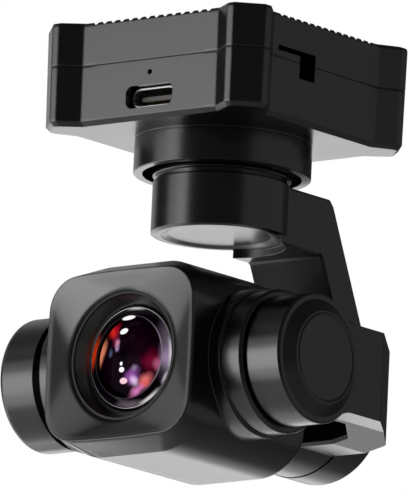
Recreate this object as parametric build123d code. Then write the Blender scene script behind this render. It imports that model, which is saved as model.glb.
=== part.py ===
from build123d import *
import os
from math import cos, sin, tan, radians, sqrt

# Three-axis camera gimbal, hung from the four corner posts of its control box. All sizes in mm.
# The origin is the centre of the mounting plane (the post tops). +Z is up along the yaw axis,
# -Y is the way the lens looks, +X is the side the pitch motor is on.

# ---- control box
FACE = 19.9                 # half width between the flat walls, at the top
POST = 22.1                 # half width across the corner posts, at the top
POST_FOOT = 13.6            # where a post's ramp leaves the flat wall
POST_FLAT = 17.0            # where the ramp reaches the post's face
POST_CUT = 18.3             # where the 45 degree corner cut starts
DRAFT = 0.9                 # mould draft of the walls, degrees
SEAM_Z = -7.1               # split between cover and lower housing
BOX_Z = -16.75              # underside of the box
EDGE = 0.75                 # chamfer around the underside
SEAM_EDGE = 0.1             # broken edges along the seam
WALL = 1.8
FIN_TOP, FIN_H, FIN_T, FIN_P = -0.35, 0.9, 0.95, 1.745     # heat fins: top, height, thickness, pitch
RIM, RIM_TOP = 0.45, -0.05  # the thin wall around the fins has rounded notches at the same pitch
NOTCH_R, NOTCH_UP = 0.55, 0.1                   # radius of a notch, its centre above the rim
MOUNT_P, MOUNT_R, MOUNT_L = 35.6, 1.25, 5.5     # post holes for M2.5 screws: spacing, radius, depth
SCREW_P = 29.0              # spacing of the cover screws
BOARD_Z, BOARD_T = -11.35, 1.0                  # underside of the main board, its thickness

# ---- ports
USB_X, USB_Z, USB_W, USB_H = 0.1, -13.05, 8.94, 3.2
PORT_GAP = 0.2              # clearance between the receptacle and its wall opening
PORT_DEEP, TONGUE_DEEP = 1.6, 2.7               # the receptacle and its tongue sit behind the wall
CARD_Y0, CARD_Y1, CARD_Z0, CARD_Z1 = -12.0, -2.45, -9.6, -5.2
CARD_SLIT, CARD_DEEP = 0.8, 3.95                # slit height, width of the deep end

# ---- yaw motor
COLLAR_R, COLLAR_IN, LIP_IN, COLLAR_Z = 14.2, 13.1, 12.75, -22.6
BELL_R, BELL_TOP, BELL_Z = 11.0, -22.4, -32.4
FLANGE_Z, SHOULDER_Z, NECK_R = -23.1, -23.75, 10.4          # groove between the bell's flange and body
CAP_R, DISC_R, DISC_DEEP = 9.3, 8.2, 0.4        # bottom cap and the sunk disc in its middle

# ---- yaw arm
ARM_X0, ARM_X1 = -4.6, 10.0
ARM_BLEND = 4.0                                 # radius of the hollow blend from the bell to the arm
ARM_TOP, ARM_UNDER = -24.15, -33.55
ARM_BACK_Y, ARM_BACK_Z = 16.65, -25.1           # where the slanted back starts
ARM_FRONT_Y = 13.85                             # where the slanted front starts, at ARM_UNDER
SLANT = tan(radians(25.5))
PITCH_Y, AXIS_Z = -7.9, -55.7                   # the pitch axis crosses the roll axis at this height
DRUM_R, DRUM_Y0, DRUM_Y1 = 11.7, 22.6, 29.7     # roll motor drum on the arm's lower end

# ---- roll yoke
HUB_R, HUB_Y0, HUB_Y1 = 11.6, 13.3, 22.2
SIDE_X0, SIDE_X1 = 21.3, 27.0                   # side arm
ARM_H = 14.3                                    # height of the side arm
CROSS_DROP = 1.7                                # the crossbar is this much deeper at the hub
OUTER_Y, INNER_Y = 9.1, 7.5                     # where the diagonal starts, outside and inside
DIAGONAL = tan(radians(34.0))
PUCK_R, PUCK_X0, PUCK_X1 = 10.4, 21.0, 27.5
CAP_BASE, CAP_CREST, CAP_FLAT, CAP_RISE = 9.3, 7.5, 6.85, 1.36      # radii and rise of the raised cap
PUCK_BLEND = 5.0                                # hollow blend from the motor housing to the side arm
ROLL_LIMIT = 25.0

# ---- camera
NOSE_Y, FLARE_Y, TAIL_Y = -24.2, -19.6, 7.0
NOSE = (29.1, 27.1, 5.5, 0.5)                   # width, height, corner radius, bulge of the sides at the nose
BODY = (29.2, 30.7, 8.8, 0.02)                  # and behind the flare
LAND = 0.12                                     # flat edge around the hollow front face
GLASS_R = 7.4
RING_R, RING_Y = GLASS_R + 0.85, -20.8          # lens ring around the glass
HOOD_R, HOOD_Y = RING_R + 2.2, -23.25           # outer edge of the lens hood's cone
LENS_BACK = -17.2                               # where hood, ring and glass end inside the camera
BOSS_R, BOSS_X = 11.45, 20.7
STUB_X, PLUG_X0, PLUG_X1, PLUG_R = 19.9, 21.8, 28.8, 10.8

# ---- motors: one design, used three times
SHAFT_R, RUN = 1.5, 0.05                        # shaft radius and its running clearance
TUBE_IN, TUBE_OUT = 3.0, 3.7
AIR_GAP, MAGNET_T, TEETH = 0.3, 0.65, 9
FIT = 0.02                                      # clearance between pieces that are glued or screwed

os.makedirs("parts", exist_ok=True)
X, Y, Z = Axis.X, Axis.Y, Axis.Z


def block(x0, x1, y0, y1, z0, z1):
    """Box between two corners."""
    return Pos((x0 + x1) / 2, (y0 + y1) / 2, (z0 + z1) / 2) * Box(abs(x1 - x0), abs(y1 - y0), abs(z1 - z0))


def along(axis, a, b, r, hole=0.0, cx=0.0, cy=0.0, cz=0.0):
    """Rod or ring along a row axis from a to b, through the point (cx, cy, cz)."""
    turn = {"x": Rot(0, 90, 0), "y": Rot(-90, 0, 0), "z": Rot(0, 0, 0)}[axis]
    lo, h = min(a, b), abs(b - a)
    at = {"x": Pos(lo, cy, cz), "y": Pos(cx, lo, cz), "z": Pos(cx, cy, lo)}[axis]
    rod = Cylinder(r, h, align=(Align.CENTER, Align.CENTER, Align.MIN))
    if hole:
        rod -= Cylinder(hole, h, align=(Align.CENTER, Align.CENTER, Align.MIN))
    return at * turn * rod


def turned(points, axis_pos):
    """Solid turned about local Z from (radius, height) points, then placed."""
    face = make_face(Polyline(*[(r, 0, h) for r, h in points], close=True))
    return axis_pos * revolve(face, Axis.Z)


def save(name, *solids):
    shape = solids[0] if len(solids) == 1 else Compound(label=name, children=list(solids))
    shape.label = name
    export_step(shape, f"parts/{name}.step")


# =====================================================================================================
# Control box
# =====================================================================================================
def box_outline(inset=0.0):
    """Plan of the box: flat walls with a proud, ramped and corner-cut post at each corner."""
    f, p, cut = FACE - inset, POST - inset, POST_CUT - inset * 0.41
    quarter = [(POST_FOOT, -f), (POST_FLAT, -p), (cut, -p), (p, -cut), (p, -POST_FLAT), (f, -POST_FOOT)]
    points = []
    for turn in range(4):
        c, s = round(cos(radians(90 * turn))), round(sin(radians(90 * turn)))
        points += [(c * x - s * y, s * x + c * y) for x, y in quarter]
    return Polyline(*points, close=True)


def box_slab(z0, z1, inset0=0.0, inset1=0.0):
    """Drafted slab of the box between two heights; the insets make its chamfers."""
    shift = tan(radians(DRAFT))
    ends = [Plane.XY.offset(z) * make_face(box_outline(inset - z * shift))
            for z, inset in ((z0, inset0), (z1, inset1))]
    return loft(ends, ruled=True)


def plus(outer, arm, z0, z1):
    """Plus-shaped cavity that leaves the corners solid for the screws."""
    return block(-outer, outer, -arm, arm, z0, z1) + block(-arm, arm, -outer, outer, z0, z1)


corners = [(sx, sy) for sx in (-1, 1) for sy in (-1, 1)]
cavity = FACE - WALL - 0.3
cavity_arm = 12.7
card_z_mid = CARD_Z1 - CARD_SLIT
card_opening = block(FACE - 4.0, FACE + 2, CARD_Y0, CARD_Y1, card_z_mid, CARD_Z1) \
    + block(FACE - 4.0, FACE + 2, CARD_Y1 - CARD_DEEP, CARD_Y1, CARD_Z0, CARD_Z1)

# The cover's posts stand a little above the fins, so the gimbal hangs from four small pads.
cover = box_slab(SEAM_Z, SEAM_Z + SEAM_EDGE, SEAM_EDGE, 0) + box_slab(SEAM_Z + SEAM_EDGE, -0.6)
cover += box_slab(-0.6, -0.15, 0, 0.2) + box_slab(-0.15, 0, 0.2, 0.6)
fin_floor = FIN_TOP - FIN_H
rim_in = FACE - RIM
cover -= block(-FACE - 1, FACE + 1, -POST_FOOT, POST_FOOT, RIM_TOP, 1) \
    + block(-POST_FOOT, POST_FOOT, -FACE - 1, FACE + 1, RIM_TOP, 1)
cover -= block(-rim_in, rim_in, -POST_FOOT, POST_FOOT, FIN_TOP, 1) \
    + block(-POST_FOOT, POST_FOOT, -rim_in, rim_in, FIN_TOP, 1)
# Long fins run front to back; short ones cross them at each side, and the rim is notched all round.
inside = int((POST_FOOT - FIN_T / 2) / FIN_P)
gap = FIN_P - FIN_T
side_x = inside * FIN_P + FIN_T / 2
for i in range(-inside, inside):
    mid = (i + 0.5) * FIN_P
    cover -= block(mid - gap / 2, mid + gap / 2, -rim_in, rim_in, fin_floor, 1)
    for side in (-1, 1):
        cover -= block(side * side_x, side * rim_in, mid - gap / 2, mid + gap / 2, fin_floor, 1)
    cover -= along("y", -FACE - 1, FACE + 1, NOTCH_R, cx=mid, cz=RIM_TOP + NOTCH_UP)
    cover -= along("x", -FACE - 1, FACE + 1, NOTCH_R, cy=mid, cz=RIM_TOP + NOTCH_UP)
for side in (-1, 1):
    cover -= block(side * side_x, side * (side_x + gap), -POST_FOOT, POST_FOOT, fin_floor, 1)
cover -= plus(cavity, cavity_arm, SEAM_Z - 1, fin_floor - 1.5)
for sx, sy in corners:
    cover -= along("z", -MOUNT_L, 1, MOUNT_R, cx=sx * MOUNT_P / 2, cy=sy * MOUNT_P / 2)
    cover -= along("z", SEAM_Z - 1, 1, 0.85, cx=sx * SCREW_P / 2, cy=sy * SCREW_P / 2)
    cover -= along("z", -1.6, 1, 1.55, cx=sx * SCREW_P / 2, cy=sy * SCREW_P / 2)
cover -= card_opening
save("top_cover", cover)

housing = box_slab(BOX_Z, BOX_Z + EDGE, EDGE, 0) + box_slab(BOX_Z + EDGE, SEAM_Z - SEAM_EDGE)
housing += box_slab(SEAM_Z - SEAM_EDGE, SEAM_Z, 0, SEAM_EDGE)
floor_z = BOX_Z + 2.0
housing -= plus(cavity, cavity_arm, floor_z, SEAM_Z + 1)
standoffs = [(sx * 15.6, sy * 7.5) for sx, sy in corners]
for x, y in standoffs:
    housing += along("z", floor_z - 0.5, BOARD_Z, 1.4, cx=x, cy=y)
for sx, sy in corners:
    housing -= along("z", -14.0, 0, 0.8, cx=sx * SCREW_P / 2, cy=sy * SCREW_P / 2)
w, h = USB_W + 2 * PORT_GAP, USB_H + 2 * PORT_GAP
usb_wall = Plane((USB_X, 0, USB_Z), x_dir=(1, 0, 0), z_dir=(0, -1, 0))
housing -= extrude(usb_wall * RectangleRounded(w, h, 1.2), FACE + 2)
housing -= along("y", -FACE - 2, 0, 0.42, cx=0.1, cz=-9.2)
housing -= card_opening
housing -= along("z", BOX_Z - 1, floor_z + 1, 5.0)
save("lower_housing", housing)

screws = []
for sx, sy in corners:
    head = along("z", -1.6, -0.35, 1.5) - extrude(Pos(0, 0, -0.35) * RegularPolygon(0.75, 6), -0.7)
    screws.append(Pos(sx * SCREW_P / 2, sy * SCREW_P / 2, 0) * (head + along("z", -13.6, -1.6, 0.8 - FIT)))
save("cover_screws", *screws)

board = plus(cavity - 0.4, cavity_arm - 0.4, BOARD_Z, BOARD_Z + BOARD_T)
board -= along("z", BOARD_Z - 1, BOARD_Z + 2, 3.4)
save("main_board", board)
chips = [(-6.5, 4.0, 8.0, 8.0, 1.1), (6.5, 6.5, 5.0, 5.0, 0.9), (-7.0, -8.5, 6.0, 4.0, 1.0),
         (4.5, -8.0, 3.0, 3.0, 0.8)]
save("board_chips", *[block(x - a / 2, x + a / 2, y - b / 2, y + b / 2, BOARD_Z + BOARD_T,
                            BOARD_Z + BOARD_T + t) for x, y, a, b, t in chips])

usb_plane = Plane((USB_X, -FACE + PORT_DEEP, USB_Z), x_dir=(1, 0, 0), z_dir=(0, 1, 0))
shell = extrude(usb_plane * SlotOverall(USB_W, USB_H), 7.3)
shell -= extrude(usb_plane * SlotOverall(USB_W - 0.6, USB_H - 0.6), 6.6)
save("usb_shell", shell)
save("usb_tongue", block(USB_X - 3.3, USB_X + 3.3, -FACE + TONGUE_DEEP, -FACE + PORT_DEEP + 6.6,
                         USB_Z - 0.35, USB_Z + 0.35))

socket = block(8.0, cavity - 0.25, CARD_Y0 - 0.3, CARD_Y1 + 0.7, BOARD_Z + BOARD_T, -4.0)
socket -= block(9.0, FACE, CARD_Y0, CARD_Y1, card_z_mid, CARD_Z1)
socket -= block(cavity - 3.2, FACE, CARD_Y1 - CARD_DEEP, CARD_Y1, CARD_Z0, CARD_Z1)
save("card_socket", socket)


# =====================================================================================================
# Brushless motors. Local Z runs from the fixed wall (0) towards the rotor's floor.
# =====================================================================================================
def motor(name, at, bore_r, deep, core_z0, core_z1):
    """Stator, windings, bearings, magnets and shaft around the fixed tube; returns the tube."""
    stator_r = bore_r - MAGNET_T - AIR_GAP
    core = along("z", core_z0, core_z1, TUBE_OUT + 1.3, TUBE_OUT + FIT)
    mid = (core_z0 + core_z1) / 2
    coils = []
    for k in range(TEETH):
        turn = Rot(0, 0, 360 / TEETH * k)
        core += turn * block(TUBE_OUT + 1.0, stator_r - 0.5, -0.55, 0.55, core_z0, core_z1)
        coil = block(TUBE_OUT + 1.5, stator_r - 1.1, -1.05, 1.05, core_z0 - 0.4, core_z1 + 0.4)
        coil -= block(TUBE_OUT, stator_r, -0.55 - FIT, 0.55 + FIT, core_z0 - FIT, core_z1 + FIT)
        coils.append(at * turn * coil)
    rim = along("z", core_z0, core_z1, stator_r, stator_r - 0.8)
    slots = Sketch() + [Rot(0, 0, 360 / TEETH * (k + 0.5)) * Pos(stator_r, 0) * Rectangle(3, 0.9)
                        for k in range(TEETH)]
    rim -= extrude(Pos(0, 0, core_z0) * slots, core_z1 - core_z0)
    save(f"{name}_stator", at * (core + rim))
    save(f"{name}_windings", *coils)
    ends = [(core_z0 - 0.6, core_z0 + 1.4), (core_z1 - 1.4, core_z1 + 0.6)]
    save(f"{name}_bearings", *[at * along("z", a, b, TUBE_IN - FIT, SHAFT_R + RUN) for a, b in ends])
    save(f"{name}_magnets", at * along("z", core_z0 - 0.2, core_z1 + 0.2, bore_r - FIT, bore_r - MAGNET_T))
    foot = along("z", core_z1 + 0.75, deep, SHAFT_R + 0.7)
    save(f"{name}_shaft", at * (along("z", 0.4, deep, SHAFT_R) + foot))
    return at * along("z", 0, core_z1 + 0.6, TUBE_OUT, TUBE_IN)


# Yaw motor: the collar is fixed to the box and carries the stator; the bell turns around it.
yaw_at = Pos(0, 0, -18.6) * Rot(180, 0, 0)
yaw_tube = motor("yaw", yaw_at, 9.6, 12.4, 5.6, 11.2)
collar = along("z", COLLAR_Z, BOX_Z, COLLAR_R)
collar = chamfer(collar.edges().sort_by(Z)[0], 0.15)
collar -= along("z", -17.35, -17.1, COLLAR_R + 1, COLLAR_R - 0.3)
collar -= along("z", COLLAR_Z + 0.5, -18.6, COLLAR_IN)
collar -= along("z", COLLAR_Z - 1, COLLAR_Z + 0.6, LIP_IN)
collar -= along("z", -19, BOX_Z + 1, TUBE_IN)
collar += along("z", BOX_Z, BOX_Z + 2.6, 5.0 - FIT, TUBE_IN) + yaw_tube
save("yaw_collar", collar)

# =====================================================================================================
# Yaw arm: bell, slanted arm and roll drum in one casting
# =====================================================================================================
bell = turned([(0, BELL_Z), (BELL_R - 1.0, BELL_Z), (BELL_R, BELL_Z + 0.2), (BELL_R, SHOULDER_Z - 0.2),
               (BELL_R - 0.2, SHOULDER_Z), (NECK_R, SHOULDER_Z), (NECK_R, FLANGE_Z), (BELL_R - 0.1, FLANGE_Z),
               (BELL_R + 0.1, FLANGE_Z + 0.2), (BELL_R + 0.1, BELL_TOP), (0, BELL_TOP)], Pos(0, 0, 0))

span = -(DRUM_Y1 - ARM_BACK_Y) / SLANT
foot_y = ARM_FRONT_Y + (ARM_UNDER - ARM_BACK_Z - span) * SLANT
profile = Polyline((0, ARM_TOP), (ARM_BACK_Y - 0.9, ARM_TOP), (ARM_BACK_Y, ARM_BACK_Z),
                   (DRUM_Y1, ARM_BACK_Z + span), (foot_y, ARM_BACK_Z + span),
                   (ARM_FRONT_Y, ARM_UNDER), (0, ARM_UNDER), close=True)
arm = Pos(ARM_X0, 0, 0) * extrude(Plane.YZ * make_face(profile), ARM_X1 - ARM_X0)
crest = Vector(ARM_X0, ARM_BACK_Y - 0.4, ARM_TOP)
back = arm.edges().filter_by(X).sort_by(lambda e: (e.center() - crest).length)
arm = fillet(back[:2], 0.6)
under = [e for e in arm.edges() if e.center().Z < ARM_TOP - 2 and e.center().Y < DRUM_Y1 - 1
         and (e.center().Z < ARM_UNDER + 0.1 or e.center().Y < DRUM_Y0)
         and abs(e.center().X - ARM_X0) > 0.1 and e.center().Y > 1]
arm = chamfer(under, 0.35)
arm -= along("z", ARM_UNDER - 1, BELL_Z, BELL_R - 0.45)
# The front is scooped out where the yoke's hub turns and where its crossbar swings up.
arm -= along("y", 0, DRUM_Y0, HUB_R + 0.4, cz=AXIS_Z)
rise = (ARM_H / 2 + 0.35) / cos(radians(ROLL_LIMIT))
reach = 4 * ARM_X1
swing = Polyline((0, AXIS_Z + rise), (reach, AXIS_Z + rise + reach * tan(radians(ROLL_LIMIT))),
                 (reach, AXIS_Z - 20), (0, AXIS_Z - 20), close=True)
arm -= Pos(0, DRUM_Y0, 0) * extrude(Plane.XZ * make_face(swing), DRUM_Y0)
drum = along("y", DRUM_Y0, DRUM_Y1, DRUM_R, cz=AXIS_Z)
drum = fillet(drum.edges().sort_by(Y)[-1], 0.6)
casting = bell + arm + drum
mid_y = sqrt((BELL_R + ARM_BLEND)**2 - (ARM_X1 + ARM_BLEND)**2)
blend = make_face(Polyline((0, 0), (ARM_X1 + ARM_BLEND, mid_y), (ARM_X1 - 2, mid_y), close=True))
blend -= Pos(ARM_X1 + ARM_BLEND, mid_y) * Circle(ARM_BLEND)
casting += Pos(0, 0, BELL_Z + 0.2) * extrude(blend, ARM_TOP - BELL_Z - 0.4)
casting -= along("z", -31.0, BELL_TOP + 1, 9.6)
casting -= along("z", BELL_Z - 1, BELL_Z + 0.9, CAP_R + FIT)
casting -= along("z", BELL_Z, -30, SHAFT_R)
casting -= along("y", DRUM_Y0 + 1.4, DRUM_Y1 - 1.1, 10.3, cz=AXIS_Z) \
    + along("y", DRUM_Y1 - 1.2, DRUM_Y1 + 1, 10.6, cz=AXIS_Z)
casting -= along("y", DRUM_Y0 - 1, DRUM_Y0 + 2, TUBE_IN, cz=AXIS_Z)

# Roll motor: its tube stands on the drum's front wall and reaches into the yoke's hub.
roll_at = Pos(0, DRUM_Y0, AXIS_Z) * Rot(90, 0, 0)
roll_tube = motor("roll", roll_at, 10.2, 7.65, 1.3, 6.3)
casting += roll_tube
save("yaw_arm", casting)

save("yaw_cap", turned([(0, BELL_Z + 0.9), (CAP_R, BELL_Z + 0.9), (CAP_R, BELL_Z + 0.05),
                        (CAP_R - 0.2, BELL_Z + 0.05), (DISC_R, BELL_Z + DISC_DEEP), (0, BELL_Z + DISC_DEEP)],
                       Pos(0, 0, 0)))

roll_cap = along("y", DRUM_Y1 - 1.1, DRUM_Y1, 10.6 - FIT, cz=AXIS_Z)
roll_cap = chamfer(roll_cap.edges().sort_by(Y)[-1], 0.3)
save("roll_motor_cap", roll_cap)
roll_board = along("y", DRUM_Y0 + 2.6, DRUM_Y0 + 3.4, 10.0, cz=AXIS_Z)
for k in range(3):
    a = radians(90 + 120 * k)
    roll_board += along("y", DRUM_Y0 + 1.4, DRUM_Y0 + 2.6, 1.0, cx=7.5 * cos(a), cz=AXIS_Z + 7.5 * sin(a))
save("roll_drive_board", roll_board)

# =====================================================================================================
# Roll yoke: hub, crossbar, diagonal corner, side arm and pitch motor housing
# =====================================================================================================
back_x = SIDE_X1 - (HUB_Y1 - OUTER_Y) * DIAGONAL
front_x = SIDE_X0 - (HUB_Y0 - INNER_Y) * DIAGONAL
plan = Polyline((0, HUB_Y0), (front_x, HUB_Y0), (SIDE_X0, INNER_Y), (SIDE_X0, PITCH_Y), (SIDE_X1, PITCH_Y),
                (SIDE_X1, OUTER_Y), (back_x, HUB_Y1), (0, HUB_Y1), close=True)
yoke = Pos(0, 0, AXIS_Z - 12) * extrude(make_face(plan), 24)
half = ARM_H / 2
low = Polyline((0, AXIS_Z + half), (SIDE_X1 + 1, AXIS_Z + half), (SIDE_X1 + 1, AXIS_Z - half),
               (22, AXIS_Z - half), (14, AXIS_Z - half - CROSS_DROP), (0, AXIS_Z - half - CROSS_DROP), close=True)
yoke &= Pos(0, 30, 0) * extrude(Plane.XZ * make_face(low), 60)
corner_edges = [e for e in yoke.edges().filter_by(Z) if abs(e.center().X - SIDE_X1) < 0.1 and e.center().Y > 5]
corner_edges += [e for e in yoke.edges().filter_by(Z) if abs(e.center().X - back_x) < 0.1]
yoke = fillet(corner_edges, 1.2)
front_edge = [e for e in yoke.edges() if e.center().Z < AXIS_Z - half - 0.5 and abs(e.center().Y - HUB_Y0) < 0.1]
yoke = chamfer(front_edge, 0.5)
blend_y = sqrt((PUCK_R + PUCK_BLEND)**2 - (half + PUCK_BLEND)**2)
for up in (1, -1):
    web = make_face(Polyline((0, 0), (blend_y, up * (half + PUCK_BLEND)), (blend_y, 0), close=True))
    web -= Pos(blend_y, up * (half + PUCK_BLEND)) * Circle(PUCK_BLEND)
    yoke += Pos(0, PITCH_Y, AXIS_Z) * extrude(Plane.YZ.offset(SIDE_X0) * web, SIDE_X1 - SIDE_X0)
hub = along("y", HUB_Y0, HUB_Y1, HUB_R, cz=AXIS_Z)
puck = along("x", PUCK_X0, PUCK_X1, PUCK_R, cy=PITCH_Y, cz=AXIS_Z)
puck = chamfer(puck.edges().sort_by(X)[-1], 0.35)
yoke += hub
yoke -= along("x", BOSS_X - 8, PUCK_X0, BOSS_R + 0.5, cy=PITCH_Y, cz=AXIS_Z)
yoke += puck
yoke -= along("y", HUB_Y0 + 1.5, HUB_Y1 + 1, 10.2, cz=AXIS_Z)
yoke -= along("y", HUB_Y0 + 0.5, HUB_Y0 + 2, SHAFT_R + 0.7, cz=AXIS_Z)
yoke -= along("x", PUCK_X0 + 1.3, PUCK_X1 - 1.9, 8.4, cy=PITCH_Y, cz=AXIS_Z)
yoke -= along("x", PUCK_X1 - 2.0, PUCK_X1 + 1, CAP_BASE, cy=PITCH_Y, cz=AXIS_Z)
yoke -= along("x", PUCK_X0 - 1, PUCK_X0 + 2, TUBE_IN, cy=PITCH_Y, cz=AXIS_Z)
pitch_at = Pos(PUCK_X0, PITCH_Y, AXIS_Z) * Rot(0, -90, 0)
pitch_tube = motor("pitch", pitch_at, 10.0, 5.35, 0.8, 4.1)
yoke += pitch_tube
save("roll_yoke", yoke)

save("pitch_motor_cap", turned([(0, -2.0), (CAP_BASE - FIT, -2.0), (CAP_BASE - FIT, 0), (CAP_CREST, CAP_RISE - 0.06),
                                (CAP_CREST - 0.15, CAP_RISE), (CAP_CREST - 0.35, CAP_RISE),
                                (CAP_FLAT + 0.1, CAP_RISE - 0.25), (CAP_FLAT - 0.1, CAP_RISE), (0, CAP_RISE)],
                               Pos(PUCK_X1, PITCH_Y, AXIS_Z) * Rot(0, 90, 0)))


# =====================================================================================================
# Camera
# =====================================================================================================
def section(y, size):
    """Rounded rectangle across the lens axis; its sides bulge by the last number."""
    w, h, r, bulge = size
    x, z = w / 2 - bulge, h / 2 - bulge
    sides = [((-x, -z), (0, -h / 2), (x, -z)), ((x, -z), (w / 2, 0), (x, z)),
             ((x, z), (0, h / 2), (-x, z)), ((-x, z), (-w / 2, 0), (-x, -z))]
    outline = make_face(Curve() + [ThreePointArc(*side) if bulge else Line(side[0], side[2]) for side in sides])
    return Plane((0, y, AXIS_Z), x_dir=(1, 0, 0), z_dir=(0, 1, 0)) * fillet(outline.vertices(), r)


nose = loft([section(NOSE_Y, NOSE), section(FLARE_Y, BODY)], ruled=True)
barrel_block = extrude(section(FLARE_Y, BODY), TAIL_Y - FLARE_Y)
barrel_block = fillet(barrel_block.faces().sort_by(Y)[-1].edges(), 1.6)
cam = nose + barrel_block
# The front face is hollow: it falls from the square edge to the round lens hood in its middle.
rim = (NOSE[0] - 2 * LAND, NOSE[1] - 2 * LAND, NOSE[2] - LAND, NOSE[3])
cam -= loft([section(NOSE_Y, rim), section(HOOD_Y, (2 * HOOD_R, 2 * HOOD_R, HOOD_R - 0.05, 0))], ruled=True)
right = along("x", 12.0, BOSS_X, BOSS_R, cy=PITCH_Y, cz=AXIS_Z)
right = chamfer(right.edges().sort_by(X)[-1], 0.4)
cam += right + along("x", 12.0, 16.8, BOSS_R + 0.45, cy=PITCH_Y, cz=AXIS_Z)
cam += along("x", -STUB_X, -12.0, BOSS_R, cy=PITCH_Y, cz=AXIS_Z)
cam -= along("x", 15.6, BOSS_X + 1, 10.0, cy=PITCH_Y, cz=AXIS_Z)
cam -= along("x", 14.0, 16.0, SHAFT_R + 0.7, cy=PITCH_Y, cz=AXIS_Z)
cam -= along("y", NOSE_Y - 1, -10, HOOD_R, cz=AXIS_Z)
room = extrude(section(-17.0, (BODY[0] - 4.4, BODY[1] - 4.4, BODY[2] - 2.2, 0)), TAIL_Y - 1.6 + 17.0)
ears = [(sx * 8.4, AXIS_Z + sz * 9.2, sx, sz) for sx in (-1, 1) for sz in (-1, 1)]
for x, z, sx, sz in ears:
    room -= block(x - 2.0 * sx, 13.0 * sx, TAIL_Y - 5.0, TAIL_Y - 1.7, z - 2.0 * sz, AXIS_Z + 14.0 * sz)
cam -= room
cam -= extrude(section(TAIL_Y - 1.7, (22.4, 24.0, 5.0, 0)), 5)
for x, z, *_ in ears:
    cam -= along("y", TAIL_Y - 5.5, TAIL_Y, 0.7, cx=x, cz=z)
save("camera_shell", cam)

rear = extrude(section(TAIL_Y - 1.7, (22.3, 23.9, 5.0, 0)), 1.6)
for x, z, *_ in ears:
    rear -= along("y", TAIL_Y - 2, TAIL_Y + 1, 0.75, cx=x, cz=z)
    rear -= along("y", TAIL_Y - 0.8, TAIL_Y + 1, 1.3, cx=x, cz=z)
save("rear_cover", rear)
save("rear_screws", *[along("y", TAIL_Y - 0.8, TAIL_Y - 0.15, 1.25, cx=x, cz=z)
                      + along("y", TAIL_Y - 4.5, TAIL_Y - 0.8, 0.7 - FIT, cx=x, cz=z) for x, z, *_ in ears])

lens_at = Pos(0, 0, AXIS_Z) * Rot(-90, 0, 0)                     # local Z runs back into the camera
save("lens_hood", turned([(HOOD_R - FIT, HOOD_Y + 0.15), (HOOD_R - FIT, LENS_BACK),
                          (RING_R + FIT, LENS_BACK), (RING_R + FIT, RING_Y + 0.5),
                          (HOOD_R - 0.5, HOOD_Y + 0.15)], lens_at))
save("lens_ring", turned([(RING_R, RING_Y + 0.15), (RING_R, LENS_BACK), (GLASS_R + FIT, LENS_BACK),
                          (GLASS_R + FIT, RING_Y + 0.5), (RING_R - 0.45, RING_Y), (RING_R - 0.15, RING_Y)],
                         lens_at))
dome_rise, dome_y = 1.5, RING_Y + 0.6
dome_r = (GLASS_R**2 + dome_rise**2) / (2 * dome_rise)
dome_at = Pos(0, dome_y - dome_rise + dome_r, AXIS_Z)
glass = dome_at * Sphere(dome_r) & along("y", dome_y - 3, dome_y, GLASS_R, cz=AXIS_Z)
glass += along("y", dome_y, dome_y + 1.2, GLASS_R, cz=AXIS_Z)
glass -= dome_at * Sphere(dome_r - 1.2) & along("y", dome_y - 3, dome_y + 1.3, GLASS_R - 0.8, cz=AXIS_Z)
save("front_glass", glass)
barrel = turned([(GLASS_R, dome_y + 1.2), (GLASS_R, LENS_BACK), (8.2, LENS_BACK), (8.2, -8.0), (7.0, -8.0),
                 (7.0, -3.0), (4.0, -3.0), (4.0, -13.0), (5.6, LENS_BACK), (6.4, dome_y + 1.2)], lens_at)
save("lens_barrel", barrel)
inner = Pos(0, -15.6 + 7.0, AXIS_Z) * Sphere(7.0) & along("y", -18, -12.9, 4.0 - FIT, cz=AXIS_Z)
save("inner_lens", inner)
save("sensor_board", block(-10.4, 10.4, -3.0, -2.0, AXIS_Z - 10.4, AXIS_Z + 10.4))

plug = along("x", -PLUG_X1, -PLUG_X0, PLUG_R, cy=PITCH_Y, cz=AXIS_Z)
plug = fillet(plug.edges().sort_by(X)[0], 1.0)
plug += along("x", -PLUG_X0, -STUB_X, 9.0, cy=PITCH_Y, cz=AXIS_Z)
save("end_cap", plug)
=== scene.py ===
"""Three-axis camera gimbal for a small drone: a square control box carries a yaw motor, a slanted
arm, a roll motor, a one-sided yoke with the pitch motor, and the camera. Black satin metal throughout."""
import math

import bmesh
import bpy
from mathutils import Matrix, Vector


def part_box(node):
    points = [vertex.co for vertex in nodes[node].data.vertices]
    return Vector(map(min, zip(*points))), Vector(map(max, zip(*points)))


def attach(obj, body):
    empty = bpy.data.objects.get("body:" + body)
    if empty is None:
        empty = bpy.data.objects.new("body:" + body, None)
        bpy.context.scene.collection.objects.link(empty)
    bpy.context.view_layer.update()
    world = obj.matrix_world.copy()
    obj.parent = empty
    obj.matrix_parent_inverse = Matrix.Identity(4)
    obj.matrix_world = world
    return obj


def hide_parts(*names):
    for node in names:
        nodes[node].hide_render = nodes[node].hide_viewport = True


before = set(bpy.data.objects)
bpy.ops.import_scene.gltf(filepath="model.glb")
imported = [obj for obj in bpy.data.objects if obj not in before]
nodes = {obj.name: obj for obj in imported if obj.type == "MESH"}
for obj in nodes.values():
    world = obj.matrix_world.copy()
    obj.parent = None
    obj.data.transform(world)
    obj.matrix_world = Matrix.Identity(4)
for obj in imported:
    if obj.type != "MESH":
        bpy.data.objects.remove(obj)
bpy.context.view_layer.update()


# ---- Control box -----------------------------------------------------------------------------------
# The cover with its heat fins and the lower housing are milled from aluminium, bead blasted and
# anodised black. They meet at a fine seam and hold each other with four long screws.

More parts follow.
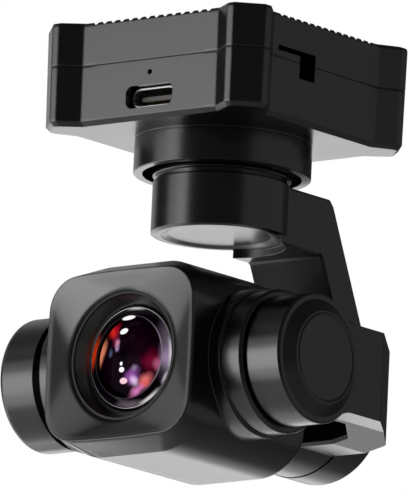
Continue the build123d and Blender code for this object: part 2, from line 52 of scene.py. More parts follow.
class Value:
    """A value inside a material. Arithmetic on it adds the Math nodes."""

    def __init__(self, finish, socket):
        self.finish, self.socket = finish, socket

    def math(self, operation, a, b):
        return self.finish.node("ShaderNodeMath", {"operation": operation}, {0: a, 1: b})

    def __add__(self, other):
        return self.math("ADD", self, other)

    def __sub__(self, other):
        return self.math("SUBTRACT", self, other)

    def __rsub__(self, other):
        return self.math("SUBTRACT", other, self)

    def __mul__(self, other):
        return self.math("MULTIPLY", self, other)

    def __or__(self, other):
        """The larger of two masks."""
        return self.math("MAXIMUM", self, other)

    __radd__, __rmul__ = __add__, __mul__


class Finish:
    """One surface finish: a Principled shader and the pattern nodes that drive it."""

    def __init__(self, name, **sockets):
        self.material = bpy.data.materials.new(name)
        self.material.use_nodes = True
        self.tree = self.material.node_tree
        self.shader = self.tree.nodes["Principled BSDF"]
        self.place = self.node("ShaderNodeTexCoord", {}, {}, "Object")
        self.set(**{k.replace("_", " "): v for k, v in sockets.items()})

    def node(self, kind, settings, values, out=0):
        """Adds a node: its settings first, then its inputs; returns one output."""
        made = self.tree.nodes.new(kind)
        for name, setting in settings.items():
            setattr(made, name, setting)
        for name, value in values.items():
            if isinstance(value, Value):
                self.tree.links.new(value.socket, made.inputs[name])
            else:
                made.inputs[name].default_value = value
        return Value(self, made.outputs[out])

    def set(self, **values):
        """Sets or links the shader's sockets."""
        for name, value in values.items():
            socket = self.shader.inputs[name]
            if isinstance(value, Value):
                self.tree.links.new(value.socket, socket)
            else:
                socket.default_value = value

    def noise(self, size, detail=2.0, vector=None):
        """Noise around 0, with blotches about this many millimetres across."""
        return self.node("ShaderNodeTexNoise", {}, {"Vector": vector or self.place, "Scale": 1000 / size,
                                                    "Detail": detail}, "Fac") - 0.5

    def mix(self, factor, a, b):
        """Blends two colours."""
        return self.node("ShaderNodeMix", {"data_type": "RGBA"}, {0: factor, 6: a, 7: b}, 2)

    def step(self, value, low, high):
        """0 below low, 1 above high, smooth between."""
        return self.node("ShaderNodeMapRange", {"interpolation_type": "SMOOTHSTEP"},
                         {0: value, 1: low, 2: high, 3: 0.0, 4: 1.0})

    def soft_edges(self, radius, samples=6):
        """The normal of edges broken by this radius, and a mask of where they are."""
        rounded = self.node("ShaderNodeBevel", {"samples": samples}, {"Radius": radius}, "Normal")
        flat = self.node("ShaderNodeNewGeometry", {}, {}, "Normal")
        same = self.node("ShaderNodeVectorMath", {"operation": "DOT_PRODUCT"}, {0: rounded, 1: flat}, "Value")
        return rounded, self.step(1.0 - same, 0.01, 0.25)

    def bump(self, height, strength, distance):
        """The normal of a surface with this height pattern pressed into it."""
        return self.node("ShaderNodeBump", {}, {"Strength": strength, "Distance": distance, "Height": height})

    def grain(self, height, normal):
        """A normal with the finest grit pressed into it."""
        return self.node("ShaderNodeBump", {}, {"Strength": 0.06, "Distance": 0.00001, "Height": height,
                                                "Normal": normal})


def grey(value, warm=0.0):
    """A grey of this brightness, a little warm where asked."""
    return (value * (1 + warm), value, value * (1 - warm * 0.5), 1.0)


def paint(finish, *names):
    """Gives CAD nodes a finish."""
    for name in names:
        mesh = nodes[name].data
        mesh.materials.clear()
        mesh.materials.append(finish.material)


GRIT, BLOTCH = 0.11, 9.0            # sizes of the blasted grit and the faint blotches, mm
BROKEN_EDGE = 0.00016               # radius of a plain broken edge, m


def anodised(name, tone=0.15, rough=0.25, edge=BROKEN_EDGE, edge_highlight_strength=0.6):
    """Blasted and black anodised aluminium: fine grit, faint blotches, and edges lightened by a painted highlight.
    """
    metal = Finish(name, Metallic=1.0)
    blotch, grit = metal.noise(BLOTCH), metal.noise(GRIT)
    rounded, painted_edge_highlight = metal.soft_edges(edge)
    speckle = metal.step(grit, 0.05, 0.3)
    # The edges are mixed towards a brighter grey: a painted highlight, not wear.
    metal.set(**{
        "Base Color": metal.mix(painted_edge_highlight * edge_highlight_strength, metal.mix(speckle * 0.25, grey(tone), grey(tone * 1.25)),
                                grey(tone * 3.0)),
        "Roughness": rough + blotch * 0.05 + grit * 0.05 - painted_edge_highlight * 0.06,
        "Normal": metal.grain(grit, rounded),
    })
    return metal


def round_more(metal, where, fine, wide, samples=6):
    """Gives a metal's edges the wide radius where the mask says and the fine radius elsewhere."""
    fine_normal, _ = metal.soft_edges(fine)
    wide_normal, _ = metal.soft_edges(wide, samples)
    normal = metal.node("ShaderNodeMix", {"data_type": "VECTOR"}, {0: where, 4: fine_normal, 5: wide_normal}, 1)
    metal.set(Normal=metal.grain(metal.noise(GRIT), normal))


POSTS_FROM, POSTS_TO = 0.0222, 0.0236   # how far from the box's middle line the posts' corners start, m
POST_EDGE = 0.0006                      # radius of the posts' tumbled corners, m

box_black = anodised("box_black")
level = box_black.node("ShaderNodeVectorMath", {"operation": "MULTIPLY"},
                       {0: box_black.place, 1: (1.0, 1.0, 0.0)})
from_middle = box_black.node("ShaderNodeVectorMath", {"operation": "LENGTH"}, {0: level}, "Value")
round_more(box_black, box_black.step(from_middle, POSTS_FROM, POSTS_TO), BROKEN_EDGE, POST_EDGE)
paint(box_black, "top_cover", "lower_housing")

# ---- Screws ----------------------------------------------------------------------------------------
# Socket-head screws that go down through the cover into the housing, and the small screws of the camera's
# rear cover: blackened steel with turned heads.

SCREW_EDGE = 0.00012                # radius of a head's edge, m

screw_black = Finish("blackened_steel", Metallic=1.0)
turning = screw_black.noise(0.25, 4.0)
rounded, painted_edge_highlight = screw_black.soft_edges(SCREW_EDGE)
# The heads' rims are mixed towards a brighter grey: a painted highlight.
screw_black.set(**{"Base Color": screw_black.mix(painted_edge_highlight * 0.6, grey(0.10), grey(0.35, 0.03)),
                   "Roughness": 0.36 + turning * 0.12, "Normal": rounded})
paint(screw_black, "cover_screws", "rear_screws")

# ---- Circuit boards and chips ----------------------------------------------------------------------
# Glass-fibre boards under dark solder mask with a fine copper pattern showing through, and the moulded
# epoxy chips that are soldered to them. They lie inside the box, the roll drum and the camera.

BLACK, WHITE = (0, 0, 0, 1), (1, 1, 1, 1)
TRACKS_PER_METRE, TRACK_HEIGHT = 900.0, 0.00003


def board_finish(name, mask, track):
    """Solder mask of one colour over copper tracks of another."""
    board = Finish(name)
    grid = board.node("ShaderNodeTexBrick", {"offset": 0.5},
                      {"Vector": board.place, "Scale": TRACKS_PER_METRE, "Mortar Size": 0.03,
                       "Color1": BLACK, "Color2": BLACK, "Mortar": WHITE})
    weave = board.noise(0.6, 3.0)
    board.set(**{"Base Color": board.mix(grid * 0.5 + weave * 0.2, mask, track),
                 "Roughness": 0.4 + weave * 0.2, "Normal": board.bump(grid, 0.3, TRACK_HEIGHT)})
    return board


paint(board_finish("green_board", (0.012, 0.07, 0.03, 1), (0.05, 0.17, 0.07, 1)),
      "main_board", "roll_drive_board")
paint(board_finish("sensor_board", (0.01, 0.012, 0.03, 1), (0.03, 0.05, 0.1, 1)), "sensor_board")

chip = Finish("chip_epoxy")
grain = chip.noise(0.08, 1.0)
chip.set(**{"Base Color": chip.mix(grain + 0.5, grey(0.012), grey(0.035)), "Roughness": 0.55 + grain * 0.2,
            "Normal": chip.bump(grain, 0.2, 0.00001)})
paint(chip, "board_chips")

# ---- USB-C receptacle ------------------------------------------------------------------------------
# A drawn nickel-plated steel shell with a grey moulded tongue. Twelve gold contacts lie on each side
# of the tongue, in a row along it.

USB_EDGE = 0.00008                  # radius of the shell's rim, m

plated = Finish("nickel_shell", Metallic=1.0)
draw = plated.node("ShaderNodeMapping", {}, {"Vector": plated.place, "Scale": (1.0, 0.05, 1.0)})
lines = plated.noise(0.12, 3.0, draw)
rounded, _ = plated.soft_edges(USB_EDGE)
plated.set(**{"Base Color": plated.mix(lines + 0.5, grey(0.66, 0.02), grey(0.84, 0.03)),
              "Roughness": 0.24 + lines * 0.15, "Normal": rounded})
paint(plated, "usb_shell")

tongue_grey = Finish("tongue_resin")
grain = tongue_grey.noise(0.2)
tongue_grey.set(**{"Base Color": tongue_grey.mix(grain + 0.5, grey(0.33), grey(0.42)),
                   "Roughness": 0.48 + grain * 0.12})
paint(tongue_grey, "usb_tongue")

gold = Finish("contact_gold", Metallic=1.0)
rub = gold.noise(0.3, 3.0)
gold.set(**{"Base Color": gold.mix(rub + 0.5, (0.72, 0.48, 0.16, 1), (0.9, 0.66, 0.28, 1)),
            "Roughness": 0.28 + rub * 0.2})


def node_tree(name, sizes):
    """A geometry tree with named number inputs."""
    tree = bpy.data.node_groups.new(name, "GeometryNodeTree")
    tree.interface.new_socket("Geometry", in_out="INPUT", socket_type="NodeSocketGeometry")
    for size, kind in sizes.items():
        tree.interface.new_socket(size, in_out="INPUT", socket_type=kind)
    tree.interface.new_socket("Geometry", in_out="OUTPUT", socket_type="NodeSocketGeometry")
    return tree, tree.nodes.new("NodeGroupInput"), tree.nodes.new("NodeGroupOutput")


def grown(tree, values, name, finish, place):
    """Runs a geometry tree with these values and returns the result as a plain mesh piece at its place."""
    seed = bpy.data.objects.new(name + "_seed", bpy.data.meshes.new(name + "_seed"))
    bpy.context.collection.objects.link(seed)
    modifier = seed.modifiers.new("grow", "NODES")
    modifier.node_group = tree
    for item in tree.interface.items_tree:
        if item.in_out == "INPUT" and item.name in values:
            modifier[item.identifier] = values[item.name]
    mesh = bpy.data.meshes.new_from_object(seed.evaluated_get(bpy.context.evaluated_depsgraph_get()))
    seed.modifiers.remove(modifier)
    bpy.data.objects.remove(seed)
    mesh.transform(place)
    mesh.materials.clear()
    mesh.materials.append(finish.material)
    made = bpy.data.objects.new(name, mesh)
    bpy.context.collection.objects.link(made)
    return made


contact_tree, given, result = node_tree("contact_row", {
    "Pads": "NodeSocketInt", "Pitch": "NodeSocketFloat", "Pad": "NodeSocketVector", "Finish": "NodeSocketMaterial"})
line = contact_tree.nodes.new("GeometryNodeMeshLine")
pad = contact_tree.nodes.new("GeometryNodeMeshCube")
step_x = contact_tree.nodes.new("ShaderNodeCombineXYZ")
spread = contact_tree.nodes.new("GeometryNodeInstanceOnPoints")
real = contact_tree.nodes.new("GeometryNodeRealizeInstances")
coat = contact_tree.nodes.new("GeometryNodeSetMaterial")
for a, b in ((given.outputs["Pads"], line.inputs["Count"]), (given.outputs["Pitch"], step_x.inputs["X"]),
             (step_x.outputs[0], line.inputs["Offset"]), (given.outputs["Pad"], pad.inputs["Size"]),
             (line.outputs[0], spread.inputs["Points"]), (pad.outputs["Mesh"], spread.inputs["Instance"]),
             (spread.outputs[0], real.inputs[0]), (real.outputs[0], coat.inputs["Geometry"]),
             (given.outputs["Finish"], coat.inputs["Material"]), (coat.outputs[0], result.inputs[0])):
    contact_tree.links.new(a, b)

CONTACTS, CONTACT_PITCH = 12, 0.0005            # in a row, and the distance between two, m
CONTACT_SIZE = (0.00026, 0.0042, 0.00006)
CONTACT_IN = 0.0024                             # from the tongue's tip to a contact's middle, m
low, high = (Vector(v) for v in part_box("usb_tongue"))
first_x = (low.x + high.x) / 2 - (CONTACTS - 1) / 2 * CONTACT_PITCH
for side, z in (("upper", high.z), ("lower", low.z)):
    row = grown(contact_tree,
                {"Pads": CONTACTS, "Pitch": CONTACT_PITCH, "Pad": CONTACT_SIZE, "Finish": gold.material},
                "usb_contacts_" + side, gold, Matrix.Translation((first_x, low.y + CONTACT_IN, z)))
    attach(row, "base")

# ---- Card socket -----------------------------------------------------------------------------------
# The memory-card socket behind the side opening: a black resin moulding with a satin bloom, soldered to
# the main board.

socket_black = Finish("socket_resin")
grain = socket_black.noise(0.3)
socket_black.set(**{"Base Color": socket_black.mix(grain + 0.5, grey(0.006), grey(0.012)),
                    "Roughness": 0.6 + grain * 0.15})
paint(socket_black, "card_socket")

# ---- Yaw collar, yaw arm and roll yoke -------------------------------------------------------------
# Three black castings, machined where the motors sit: the collar under the box, the arm with the yaw
# bell and the roll drum, and the one-sided yoke that carries the pitch motor.

paint(anodised("casting_black"), "yaw_collar", "yaw_arm", "roll_yoke")

# ---- Motors ----------------------------------------------------------------------------------------
# The same small brushless motor three times: a stack of steel laminations wound with enamelled
# copper, two ball bearings, a ring of nickel-plated magnets and a ground steel shaft.

LAMINATION = 0.00035                # thickness of a sheet in the stack, m
WIRES_PER_METRE, WIRE_HEIGHT = 1400.0, 0.00006

for motor, axis in (("yaw", "Z"), ("roll", "Y"), ("pitch", "X")):
    core = Finish("laminations_" + axis.lower(), Metallic=1.0)
    along = core.node("ShaderNodeSeparateXYZ", {}, {0: core.place}, axis)
    layers = core.node("ShaderNodeMath", {"operation": "SINE"}, {0: along * (2 * math.pi / LAMINATION)})
    core.set(**{"Base Color": core.mix(layers * 0.5 + 0.5, grey(0.2), grey(0.42, 0.04)),
                "Roughness": 0.42 + layers * 0.08, "Normal": core.bump(layers, 0.4, 0.00003)})
    paint(core, motor + "_stator")

copper = Finish("copper_wire", Metallic=1.0, Coat_Weight=0.6, Coat_Roughness=0.12)
turns = copper.node("ShaderNodeTexWave", {"wave_type": "BANDS", "bands_direction": "DIAGONAL"},
                    {"Vector": copper.place, "Scale": WIRES_PER_METRE, "Distortion": 0.6, "Detail": 1.0}, "Fac")
copper.set(**{"Base Color": copper.mix(turns, (0.32, 0.09, 0.035, 1), (0.72, 0.27, 0.12, 1)),
              "Roughness": 0.34 - turns * 0.1, "Normal": copper.bump(turns, 0.6, WIRE_HEIGHT)})

steel = Finish("ground_steel", Metallic=1.0)
marks = steel.noise(0.15, 4.0)
steel.set(**{"Base Color": steel.mix(marks + 0.5, grey(0.45), grey(0.62, 0.02)),
             "Roughness": 0.22 + marks * 0.14})

magnet = Finish("magnet_nickel", Metallic=1.0)
bloom = magnet.noise(1.5, 3.0)
magnet.set(**{"Base Color": magnet.mix(bloom + 0.5, grey(0.38, 0.03), grey(0.5, 0.05)),
              "Roughness": 0.3 + bloom * 0.15})

for motor in ("yaw", "roll", "pitch"):
    paint(copper, motor + "_windings")
    paint(steel, motor + "_bearings", motor + "_shaft")
    paint(magnet, motor + "_magnets")

# ---- Motor caps ------------------------------------------------------------------------------------
# Thin covers that close the ends of the motors: aluminium turned on a lathe, anodised black like the
# castings and pressed in.

paint(anodised("cap_black"), "yaw_cap", "roll_motor_cap", "pitch_motor_cap")

# ---- Camera body -----------------------------------------------------------------------------------
# The shell with its hollowed front face, the rear cover and the cap at the end of the tilt axis: milled
# aluminium, black anodised like the box. The edges inside the hollow are blended by hand, so they are soft.

HOLLOW_FRONT, HOLLOW_BACK = (-0.0242, -0.0240), (-0.0233, -0.0231)  # y where the hollow face fades in and out
SHELL_EDGE, HOLLOW_EDGE = 0.0003, 0.0012                            # radii of its edges, m

camera_black = anodised("camera_black")
depth = camera_black.node("ShaderNodeSeparateXYZ", {}, {0: camera_black.place}, "Y")
hollow = camera_black.step(depth, *HOLLOW_FRONT) * (1.0 - camera_black.step(depth, *HOLLOW_BACK))
round_more(camera_black, hollow, SHELL_EDGE, HOLLOW_EDGE, samples=8)
paint(camera_black, "camera_shell")
paint(anodised("camera_cover_black"), "rear_cover", "end_cap")

# ---- Lens hood and ring ----------------------------------------------------------------------------
# The hood is a turned aluminium cone, pressed into the shell, with its lip painted darker as painted shade. The
# black ring at its foot holds the front glass, and a thin polished bezel, sprung into the ring, covers the glass's
# edge.

LENS_Z = -0.0557                    # height of the lens axis, m
LIP_FROM, LIP_TO = 0.0097, 0.0099   # radius where the hood's lip starts, m
CONE_TONE, LIP_SHADE_TONE = 0.2, 0.045
RING_EDGE = 0.0001                  # radius of the ring's edges, m


def lens_radius(finish):
    """Distance from the lens axis, in metres."""
    flat = finish.node("ShaderNodeVectorMath", {"operation": "MULTIPLY"}, {0: finish.place, 1: (1.0, 0.0, 1.0)})
    return finish.node("ShaderNodeVectorMath", {"operation": "DISTANCE"},
                       {0: flat, 1: (0.0, 0.0, LENS_Z)}, "Value")


hood_black = anodised("hood_black", rough=0.28, edge_highlight_strength=0.15)
# The lip is painted much darker than the cone: painted shade.
lip_shade = hood_black.step(lens_radius(hood_black), LIP_FROM, LIP_TO)
hood_black.set(**{"Base Color": hood_black.mix(lip_shade, grey(CONE_TONE), grey(LIP_SHADE_TONE))})
paint(hood_black, "lens_hood")
paint(anodised("ring_black", tone=0.12, rough=0.22, edge=RING_EDGE), "lens_ring")


def turned(name, profile, finish, body, sides=96):
    """A piece turned about the lens axis from (radius, depth) points in millimetres."""
    shape = bmesh.new()
    angles = [2 * math.pi * k / sides for k in range(sides)]
    rings = []
    for radius_mm, depth_mm in profile:
        r, y = radius_mm / 1000, depth_mm / 1000
        if r == 0:
            rings.append([shape.verts.new((0, y, LENS_Z))] * sides)
        else:
            rings.append([shape.verts.new((r * math.cos(a), y, LENS_Z + r * math.sin(a))) for a in angles])
    for near, far in zip(rings, rings[1:]):
        for k in range(sides):
            corners = (near[k], near[k - 1], far[k - 1], far[k])
            shape.faces.new([v for i, v in enumerate(corners) if v not in corners[:i]])     # a pole counts once
    bmesh.ops.recalc_face_normals(shape, faces=shape.faces)
    mesh = bpy.data.meshes.new(name)
    shape.to_mesh(mesh)
    shape.free()
    mesh.polygons.foreach_set("use_smooth", [True] * len(mesh.polygons))
    mesh.materials.append(finish.material)
    piece = bpy.data.objects.new(name, mesh)
    bpy.context.collection.objects.link(piece)
    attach(piece, body)
    return piece


BEZEL_PROFILE = ((7.98, -20.7), (7.99, -20.86), (8.05, -20.93), (8.14, -20.93), (8.22, -20.86),
                 (8.24, -20.74), (8.24, -20.68), (7.98, -20.7))     # radius and y, mm

bezel = Finish("bezel_polished", Metallic=1.0)
lathe = bezel.noise(0.15, 3.0)
bezel.set(**{"Base Color": bezel.mix(lathe + 0.5, grey(0.34), grey(0.42)), "Roughness": 0.13 + lathe * 0.06})
turned("lens_bezel", BEZEL_PROFILE, bezel, "camera")

# ---- Lens barrel and elements with painted light ---------------------------------------------------
# A matt black moulded barrel. Behind the front glass sits a second domed, dark purple element that glows with
# painted reflections in purple, salmon and deep red and three painted white highlights; the small rear element lies
# at the bottom of the barrel.

matt = Finish("barrel_matt")
grain = matt.noise(0.2)
matt.set(**{"Base Color": matt.mix(grain + 0.5, grey(0.004), grey(0.010)), "Roughness": 0.6 + grain * 0.2})
paint(matt, "lens_barrel")


def tint(red, green, blue):
    """A colour from screen values."""
    return tuple((v / 255) ** 2.2 for v in (red, green, blue)) + (1.0,)


def wobble(finish, amount):
    """The surface position, pushed about by this many millimetres of soft noise."""
    noise = finish.node("ShaderNodeTexNoise", {},
                        {"Vector": finish.place, "Scale": 450.0, "Detail": 1.0}, "Color")
    pushed = finish.node("ShaderNodeVectorMath", {"operation": "MULTIPLY_ADD"},
                         {0: noise, 1: (amount / 500,) * 3, 2: finish.place})
    return finish.node("ShaderNodeVectorMath", {"operation": "SUBTRACT"}, {0: pushed, 1: (amount / 1000,) * 3})


def patch(finish, where, x, z, wide, high, turn=0.0, crisp=0.0):
    """A soft oval on the lens: 1 inside, 0 outside; its centre, half sizes in mm and turn in degrees."""
    oval = finish.node("ShaderNodeMapping", {"vector_type": "TEXTURE"},
                       {"Vector": where, "Location": (x / 1000, 0.0, LENS_Z + z / 1000),
                        "Rotation": (0.0, math.radians(turn), 0.0), "Scale": (wide / 1000, 1.0, high / 1000)})
    inside = finish.node("ShaderNodeTexGradient", {"gradient_type": "SPHERICAL"}, {"Vector": oval}, "Fac")
    return finish.step(inside, 0.0, 1.0 - 0.85 * crisp)


def lay_painted_light(finish, where, patches, under):
    """Lays painted reflections and highlights, as coloured patches, over a colour, one after the other; returns the
    colour and the patches' masks.

    A patch has its centre from the lens axis (x, z) and its half sizes in mm, its turn in degrees, how
    crisp its edge is, its colour and its strength."""
    colour, masks = under, []
    for x, z, wide, high, turn, crisp, shade, strength in patches:
        masks.append(patch(finish, where, x, z, wide, high, turn, crisp) * strength)
        colour = finish.mix(masks[-1], colour, shade)
    return colour, masks


ELEMENT_PROFILE = ((0, -21.9), (1.2, -21.86), (2.4, -21.73), (3.6, -21.52), (4.8, -21.22), (5.8, -20.9),
                   (6.6, -20.6), (6.6, -20.0), (6.2, -19.9), (3.0, -20.7), (0, -20.9))      # radius and y, mm

# The dark purple base is the element's own; the patches over it are painted reflections and highlights that glow.
element = Finish("element_with_painted_light", Specular_IOR_Level=0.02, Emission_Strength=1.0)
element_painted_light, _ = lay_painted_light(element, wobble(element, 0.7), (
    (0.0, 0.3, 7.4, 7.4, 0, 0.3, tint(26, 4, 20), 1.0),
    (-1.0, 0.6, 3.4, 4.2, 0, 0.0, tint(3, 2, 7), 0.9),
    (4.2, -0.9, 2.4, 2.6, 0, 0.0, tint(112, 20, 48), 0.9),
    (5.4, -1.6, 1.3, 1.9, 0, 0.0, tint(176, 92, 124), 0.9),
    (6.3, 0.2, 1.4, 2.6, 0, 0.0, tint(128, 98, 130), 0.8),
    (0.8, -3.0, 2.1, 1.8, -30, 0.0, tint(150, 84, 168), 1.0),
    (1.25, -3.7, 1.0, 1.3, -20, 0.1, tint(224, 186, 234), 1.0),
    (1.3, -1.75, 0.8, 0.8, 0, 0.0, tint(140, 120, 152), 1.0),
    (3.2, -4.0, 1.9, 1.5, -35, 0.1, tint(222, 108, 108), 1.0),
    (2.9, -4.65, 1.1, 0.8, -35, 0.1, tint(222, 84, 62), 1.0),
    (1.5, -5.45, 2.6, 1.1, -30, 0.1, tint(206, 120, 176), 1.0),
    (-3.8, 4.4, 1.7, 1.5, 30, 0.1, tint(206, 42, 36), 1.0),
    (-3.2, 5.0, 1.1, 1.0, 30, 0.0, tint(164, 14, 44), 0.9),
    (-2.9, 3.2, 1.0, 1.6, 20, 0.0, tint(120, 30, 60), 0.8),
    (-2.6, 2.6, 0.8, 1.0, 0, 0.1, tint(206, 132, 164), 1.0),
    (-2.35, 1.75, 0.7, 0.8, 0, 0.0, tint(164, 136, 180), 1.0),
    (-4.0, 0.95, 0.6, 1.3, 0, 0.0, tint(74, 84, 108), 1.0),
    (-6.2, 1.1, 1.3, 3.1, 17, 0.2, tint(214, 126, 98), 1.0),
), grey(0.0))
# Three painted white highlights on the element.
element_painted_light, _ = lay_painted_light(element, element.place, (
    (-1.28, -1.01, 0.34, 0.34, 0, 0.9, tint(255, 255, 255), 1.0),
    (-1.21, -1.97, 0.62, 0.48, 0, 0.9, tint(255, 252, 255), 1.0),
    (-0.96, -3.75, 0.88, 0.54, 0, 0.9, tint(255, 206, 220), 1.0),
), element_painted_light)
haze = element.noise(2.0)
element.set(**{"Base Color": element.mix(haze + 0.5, tint(10, 3, 12), tint(16, 5, 18)), "Emission Color": element_painted_light,
               "Roughness": 0.06 + haze * 0.02})
turned("element_with_painted_light", ELEMENT_PROFILE, element, "camera")

rear_element = Finish("rear_element")
haze = rear_element.noise(2.0)
rear_element.set(**{"Base Color": rear_element.mix(haze + 0.5, tint(20, 5, 30), tint(34, 10, 44)),
                    "Roughness": 0.06 + haze * 0.02})
paint(rear_element, "inner_lens")

# ---- Front glass -----------------------------------------------------------------------------------
# A strongly domed meniscus that rests on the ring under the bezel. Its coating passes almost all light;
# outside a fine bevel line its edge is blackened. A painted highlight along the bevel line, painted mauve,
# grey and orange reflections on the edge and two painted white highlights glow on the glass.

DOME, DOME_Y = 14.9, -8.25          # outer sphere of the dome: its radius and its centre's y, mm
DOME_RADII = (0, 1.5, 3, 4.5, 5.5, 6.3, 7, 7.5, 8.0)
SEAT = ((8.0, -20.78), (7.4, -20.75))   # the flat edge that rests on the ring: radius and y, mm
BORE, BORE_Y = 14.5, -7.95          # inner sphere
BORE_RADII = (7.3, 6.6, 5, 3, 0)
BEVEL = 6.65                        # radius of the bevel line, mm
EDGE_FROM, EDGE_TO = 7.45, 7.9      # radii between which the painted reflections give way to the painted highlights at the edge, mm
CLEAR = 0.03                        # how much the clear middle shows of itself


def beyond(finish, distance, start, end):
    """0 nearer than start, 1 further than end, both in millimetres."""
    return finish.step(distance, start / 1000, end / 1000)


def sphere_profile(radius, centre_y, ring_radii):
    """Profile points on a sphere that bulges towards -Y."""
    return [(r, centre_y - math.sqrt(radius ** 2 - r ** 2)) for r in ring_radii]


glass = Finish("front_glass", Specular_IOR_Level=0.1, Emission_Strength=1.0)
radius = lens_radius(glass)
from_centre = glass.node("ShaderNodeVectorMath", {"operation": "DISTANCE"},
                         {0: glass.place, 1: (0.0, DOME_Y / 1000, LENS_Z)}, "Value")
outside = beyond(glass, from_centre, DOME - 0.06, DOME - 0.03)
rim = beyond(glass, radius, BEVEL - 0.05, BEVEL + 0.1)
line = beyond(glass, radius, BEVEL - 0.15, BEVEL - 0.03) - beyond(glass, radius, BEVEL + 0.03, BEVEL + 0.15)
bevel_painted_highlight = line * (patch(glass, glass.place, 6.0, 0.0, 9.0, 9.0) + 0.25)       # a painted highlight along the bevel line, brightest on the +X side
# Painted reflections on the blackened edge: an orange glint on the left, mauve and grey on the right and below.
edge_painted_light, _ = lay_painted_light(glass, wobble(glass, 0.3), (
    (-7.4, 1.2, 1.5, 3.9, 18, 0.2, tint(172, 48, 14), 1.0),
    (8.6, 1.5, 4.2, 8.5, 0, 0.0, tint(104, 92, 108), 1.0),
    (7.4, -0.6, 1.6, 2.6, 0, 0.0, tint(150, 128, 160), 0.9),
    (0.3, -7.6, 4.4, 0.9, 0, 0.0, tint(104, 92, 104), 0.8),
), tint(8, 4, 10))
# Painted highlights on the edge's outer rim.
edge_painted_highlights, _ = lay_painted_light(glass, glass.place, (
    (8.3, 0.2, 2.6, 4.4, 0, 0.0, tint(206, 200, 212), 1.0),
    (7.2, -3.9, 1.4, 1.6, 0, 0.2, tint(176, 170, 180), 1.0),
    (4.2, -7.3, 3.4, 2.0, -30, 0.1, tint(232, 228, 230), 1.0),
    (0.5, 8.4, 3.0, 1.2, 4, 0.1, tint(224, 222, 226), 1.0),
), tint(8, 4, 10))
edge_painted_light = glass.node("ShaderNodeMix", {"data_type": "RGBA", "blend_type": "LIGHTEN"},
                  {0: beyond(glass, radius, EDGE_FROM, EDGE_TO), 6: edge_painted_light, 7: edge_painted_highlights}, 2)
glass_painted_light = glass.mix(bevel_painted_highlight, glass.mix(rim, grey(0.0), edge_painted_light), tint(122, 110, 124))
# Two painted white highlights on the dome.
glass_painted_light, (upper_painted_highlight, lower_painted_highlight) = lay_painted_light(glass, glass.place, (
    (-0.25, 6.28, 1.5, 0.44, -3, 0.9, tint(255, 250, 252), 1.0),
    (-0.38, 3.97, 0.92, 0.56, -11, 0.9, tint(255, 252, 254), 1.0),
), glass_painted_light)
covered = upper_painted_highlight | lower_painted_highlight | rim | bevel_painted_highlight
dust = glass.noise(1.2)
glass.set(**{"Base Color": glass.mix(rim, tint(10, 4, 14), tint(14, 9, 16)), "Emission Color": glass_painted_light,
             "Roughness": 0.03 + dust * 0.02, "Alpha": outside * (covered * (1 - CLEAR) + CLEAR)})
dome_profile = [*sphere_profile(DOME, DOME_Y, DOME_RADII), *SEAT, *sphere_profile(BORE, BORE_Y, BORE_RADII)]
front_dome = turned("front_dome", dome_profile, glass, "camera")
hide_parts("front_glass")

# ---- Studio ----------------------------------------------------------------------------------------
# A plain pale floor well below the hanging gimbal, soft boxes on its left and behind it in a dim room,
# and the camera.

FLOOR_Z, FLOOR_HALF = -1.05, 7.0    # height and half width of the floor, m
CENTRE = Vector((0.0, -0.007, -0.035))
LIGHT_DISTANCE = 1.5                # from the gimbal's centre to each light, m
LIGHTS = (                          # azimuth, elevation, width and height in degrees, brightness
    ("key_box", -40, -4.5, 40, 30, 1.0),
    ("key_core", -30, -4.5, 20, 30, 1.05),
    ("low_box", -42, -26, 38, 13, 1.0),
    ("high_box", -40, 18, 40, 15, 0.46),
    ("left_low_box", -100, -44, 80, 24, 0.9),
    ("low_glint_box", -112, -47, 24, 20, 1.7),
    ("left_box", -90, -19.5, 60, 30, 0.62),
    ("back_box", -140, -12, 40, 15, 1.4),
    ("back_low_box", -150, -27, 20, 15, 0.6),
    ("back_high_box", -122, 6, 44, 26, 0.42),
    ("top_left_box", -100, 36, 80, 26, 0.34),
    ("right_fill", 120, 0, 90, 60, 0.1),
)
ROOM = 0.034                        # brightness of the room that the metal mirrors between the lights
VIEW_AZIMUTH, VIEW_ELEVATION, VIEW_ROLL = 38.51, -11.467, 2.635         # degrees
VIEW_LENS, VIEW_SENSOR, VIEW_HEIGHT = 1200.0, 36.0, 0.07788             # mm, mm, and m at the gimbal
VIEW_AIM, VIEW_RIGHT, VIEW_DOWN = Vector((0.0, -0.00633, -0.03165)), 0.001425, 0.003063     # m

floor_mesh = bpy.data.meshes.new("floor")
floor_corners = ((-1, -1), (1, -1), (1, 1), (-1, 1))
floor_mesh.from_pydata([(x * FLOOR_HALF, y * FLOOR_HALF, FLOOR_Z) for x, y in floor_corners], [], [(0, 1, 2, 3)])
floor = bpy.data.objects.new("floor", floor_mesh)
bpy.context.collection.objects.link(floor)
pale = Finish("pale_floor", Roughness=0.8)
drift = pale.noise(600.0)
pale.set(**{"Base Color": pale.mix(drift + 0.5, grey(0.72), grey(0.76))})
floor_mesh.materials.append(pale.material)


def direction(azimuth, elevation):
    """Unit vector; azimuth from the lens side (-Y) towards the pitch motor (+X)."""
    a, e = math.radians(azimuth), math.radians(elevation)
    return Vector((math.sin(a) * math.cos(e), -math.cos(a) * math.cos(e), math.sin(e)))


def span(degrees):
    """The length that fills this much of the view from the gimbal at the lights' distance."""
    return 2 * LIGHT_DISTANCE * math.tan(math.radians(degrees / 2))


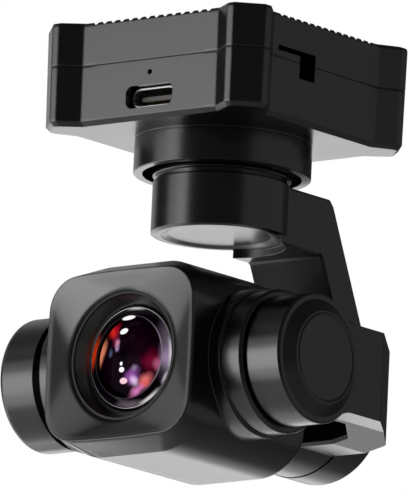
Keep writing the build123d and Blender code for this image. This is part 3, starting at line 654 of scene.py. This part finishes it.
for name, azimuth, elevation, width, height, brightness in LIGHTS:
    lamp = bpy.data.lights.new(name, "AREA")
    lamp.shape = "RECTANGLE"
    lamp.size, lamp.size_y = span(width), span(height)
    lamp.energy = brightness * math.pi * lamp.size * lamp.size_y
    box = bpy.data.objects.new(name, lamp)
    bpy.context.collection.objects.link(box)
    out = direction(azimuth, elevation)
    turn = out.to_track_quat("Z", "Y").to_matrix().to_4x4()
    box.matrix_world = Matrix.Translation(CENTRE + out * LIGHT_DISTANCE) @ turn
    box.visible_camera = False

world = bpy.data.worlds.new("studio")
bpy.context.scene.world = world
world.use_nodes = True
air = world.node_tree
room = air.nodes["Background"]
room.inputs["Color"].default_value = (ROOM, ROOM, ROOM, 1)
backdrop = air.nodes.new("ShaderNodeBackground")
backdrop.inputs["Color"].default_value = (1, 1, 1, 1)
seen = air.nodes.new("ShaderNodeLightPath")
choose = air.nodes.new("ShaderNodeMixShader")
for a, b in ((seen.outputs["Is Camera Ray"], choose.inputs[0]), (room.outputs[0], choose.inputs[1]),
             (backdrop.outputs[0], choose.inputs[2]), (choose.outputs[0], air.nodes["World Output"].inputs[0])):
    air.links.new(a, b)
bpy.context.scene.view_settings.view_transform = "Standard"

back = direction(VIEW_AZIMUTH, VIEW_ELEVATION)
right = Vector((math.cos(math.radians(VIEW_AZIMUTH)), math.sin(math.radians(VIEW_AZIMUTH)), 0))
right = Matrix.Rotation(math.radians(VIEW_ROLL), 3, back) @ right
up = back.cross(right)
aim = VIEW_AIM + right * VIEW_RIGHT - up * VIEW_DOWN
camera_data = bpy.data.cameras.new("view_camera")
camera_data.lens, camera_data.sensor_fit, camera_data.sensor_height = VIEW_LENS, "VERTICAL", VIEW_SENSOR
camera_data.clip_start, camera_data.clip_end = 0.1, 20.0
camera = bpy.data.objects.new("view_camera", camera_data)
bpy.context.collection.objects.link(camera)
camera.matrix_world = Matrix((right, up, back)).transposed().to_4x4()
camera.location = aim + back * (VIEW_HEIGHT * VIEW_LENS / VIEW_SENSOR)
bpy.context.scene.camera = camera
